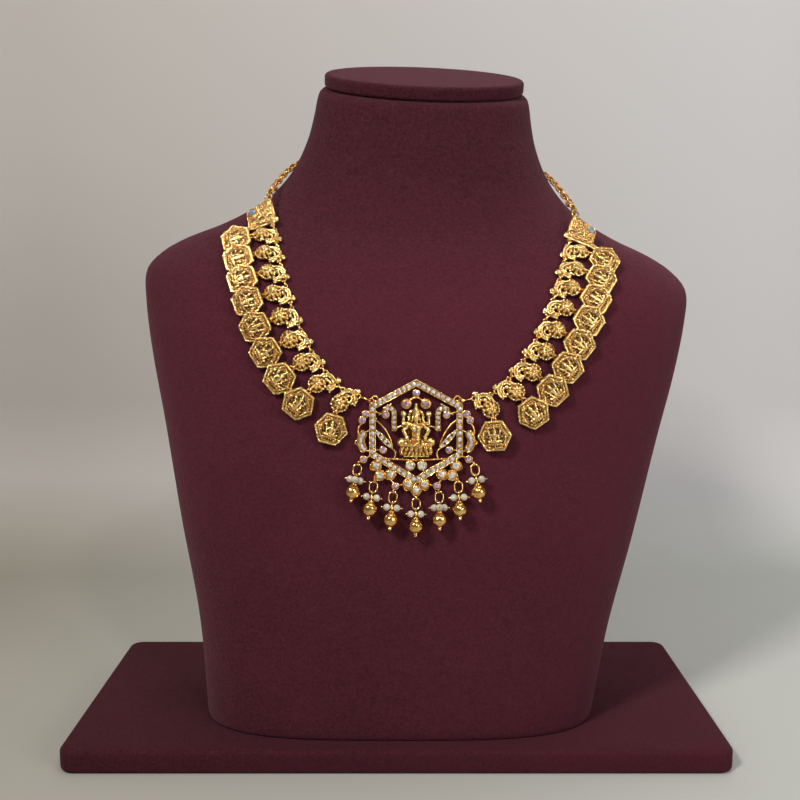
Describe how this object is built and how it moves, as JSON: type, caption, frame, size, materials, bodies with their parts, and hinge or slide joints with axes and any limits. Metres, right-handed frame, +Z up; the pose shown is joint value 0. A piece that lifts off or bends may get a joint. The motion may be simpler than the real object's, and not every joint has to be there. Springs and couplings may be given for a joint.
{
  "type": "temple jewellery necklace on a plain neck bust and display board",
  "caption": "Gold temple jewellery necklace with a stone-set pendant, coin medallions and pearl drops, on a maroon velvet bust.",
  "frame": {"origin": "middle of the board's underside", "axes": "+Z up, the bust and the pendant face -Y, +X to the viewer's right"},
  "size_m": [0.269, 0.12, 0.29],
  "materials": {
    "velvet_bust": "maroon velvet with a fine nap",
    "velvet_board": "maroon velvet on board",
    "antique_gold": "cast, gold plated, darkened in the recesses",
    "bright_gold": "polished gold plating",
    "clear_stone": "cut clear glass",
    "lilac_stone": "cut lilac glass",
    "grey_stone": "grey-blue cut glass",
    "pearl": "off-white imitation pearl"
  },
  "bodies": {
    "root": {"base_board": "velvet_board", "bust": "velvet_bust", "bust_cap": "velvet_bust", "link_left_1": "antique_gold", "coin_left_1": "antique_gold", "link_left_2": "antique_gold", "coin_left_2": "antique_gold", "link_left_3": "antique_gold", "coin_left_3": "antique_gold", "link_left_4": "antique_gold", "coin_left_4": "antique_gold", "link_left_5": "antique_gold", "coin_left_5": "antique_gold", "link_left_6": "antique_gold", "coin_left_6": "antique_gold", "link_left_7": "antique_gold", "coin_left_7": "antique_gold", "link_left_8": "antique_gold", "coin_left_8": "antique_gold", "link_left_9": "antique_gold", "coin_left_9": "antique_gold", "link_right_1": "antique_gold", "coin_right_1": "antique_gold", "link_right_2": "antique_gold", "coin_right_2": "antique_gold", "link_right_3": "antique_gold", "coin_right_3": "antique_gold", "link_right_4": "antique_gold", "coin_right_4": "antique_gold", "link_right_5": "antique_gold", "coin_right_5": "antique_gold", "link_right_6": "antique_gold", "coin_right_6": "antique_gold", "link_right_7": "antique_gold", "coin_right_7": "antique_gold", "link_right_8": "antique_gold", "coin_right_8": "antique_gold", "link_right_9": "antique_gold", "coin_right_9": "antique_gold", "joining_rings": "bright_gold", "terminal_left": "antique_gold", "terminal_right": "antique_gold", "terminal_stones": "grey_stone", "chain_left": "bright_gold", "chain_right": "bright_gold", "clasp": "bright_gold", "pendant_frame": "antique_gold", "goddess_figure": "antique_gold", "frame_stones": "clear_stone", "lilac_stones": "lilac_stone", "clear_stones": "clear_stone", "drop_1": "bright_gold", "drop_2": "bright_gold", "drop_3": "bright_gold", "drop_4": "bright_gold", "drop_5": "bright_gold", "drop_6": "bright_gold", "drop_7": "bright_gold", "drop_pearls": "pearl"}
  },
  "joints": []
}
